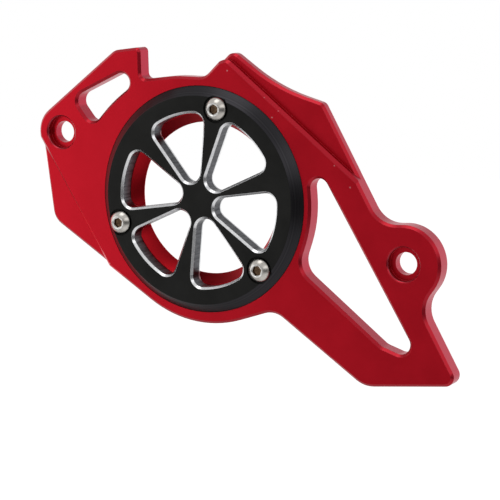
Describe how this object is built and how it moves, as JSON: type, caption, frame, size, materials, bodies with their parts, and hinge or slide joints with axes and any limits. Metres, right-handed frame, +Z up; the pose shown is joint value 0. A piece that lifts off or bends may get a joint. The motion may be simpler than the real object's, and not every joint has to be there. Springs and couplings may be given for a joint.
{
  "type": "motorcycle sprocket cover",
  "caption": "Flat red anodised aluminium sprocket cover for a motorcycle, with a black spoked round insert held by button-head screws.",
  "frame": {"origin": "on the sprocket's axis, in the plane of the cover's back", "axes": "+X to the rear of the machine, +Z up, and the cover's outer face looks along -Y"},
  "size_m": [0.1475, 0.01, 0.1012],
  "materials": {
    "red_anodised_aluminium": "satin blasted, anodised red",
    "black_anodised_aluminium": "matte anodised black, cut edges bright",
    "stainless_steel": "satin"
  },
  "bodies": {
    "root": {"cover_plate": "red_anodised_aluminium", "spoked_insert": "black_anodised_aluminium", "upper_insert_screw": "stainless_steel", "front_insert_screw": "stainless_steel", "rear_insert_screw": "stainless_steel"}
  },
  "joints": []
}
